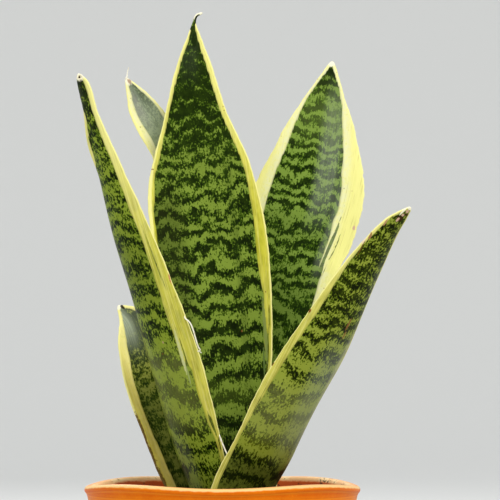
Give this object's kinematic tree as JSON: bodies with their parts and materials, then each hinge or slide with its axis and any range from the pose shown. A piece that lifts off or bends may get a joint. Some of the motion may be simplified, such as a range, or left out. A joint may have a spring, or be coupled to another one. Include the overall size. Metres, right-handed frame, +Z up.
{
  "type": "potted snake plant",
  "caption": "Upright houseplant with stiff, sword-shaped, yellow-edged and cross-banded leaves standing in soil in a round tapered clay pot.",
  "frame": {"origin": "centre of the pot's flat foot, on the surface that it stands on", "axes": "+Z up along the pot's axis; -Y toward the viewer of the picture, whose right is +X"},
  "size_m": [0.1654, 0.14, 0.369],
  "materials": {
    "clay": "satin terracotta",
    "soil": "loose matt potting mix",
    "rhizome": "matt fleshy stem",
    "leaf": "satin, waxy"
  },
  "bodies": {
    "root": {"pot": "clay", "soil": "soil", "rhizome": "rhizome", "leaf_centre_tall": "leaf", "leaf_left_long": "leaf", "leaf_back_left": "leaf", "leaf_back_right": "leaf", "leaf_front_right": "leaf", "leaf_left_short": "leaf"}
  },
  "joints": []
}
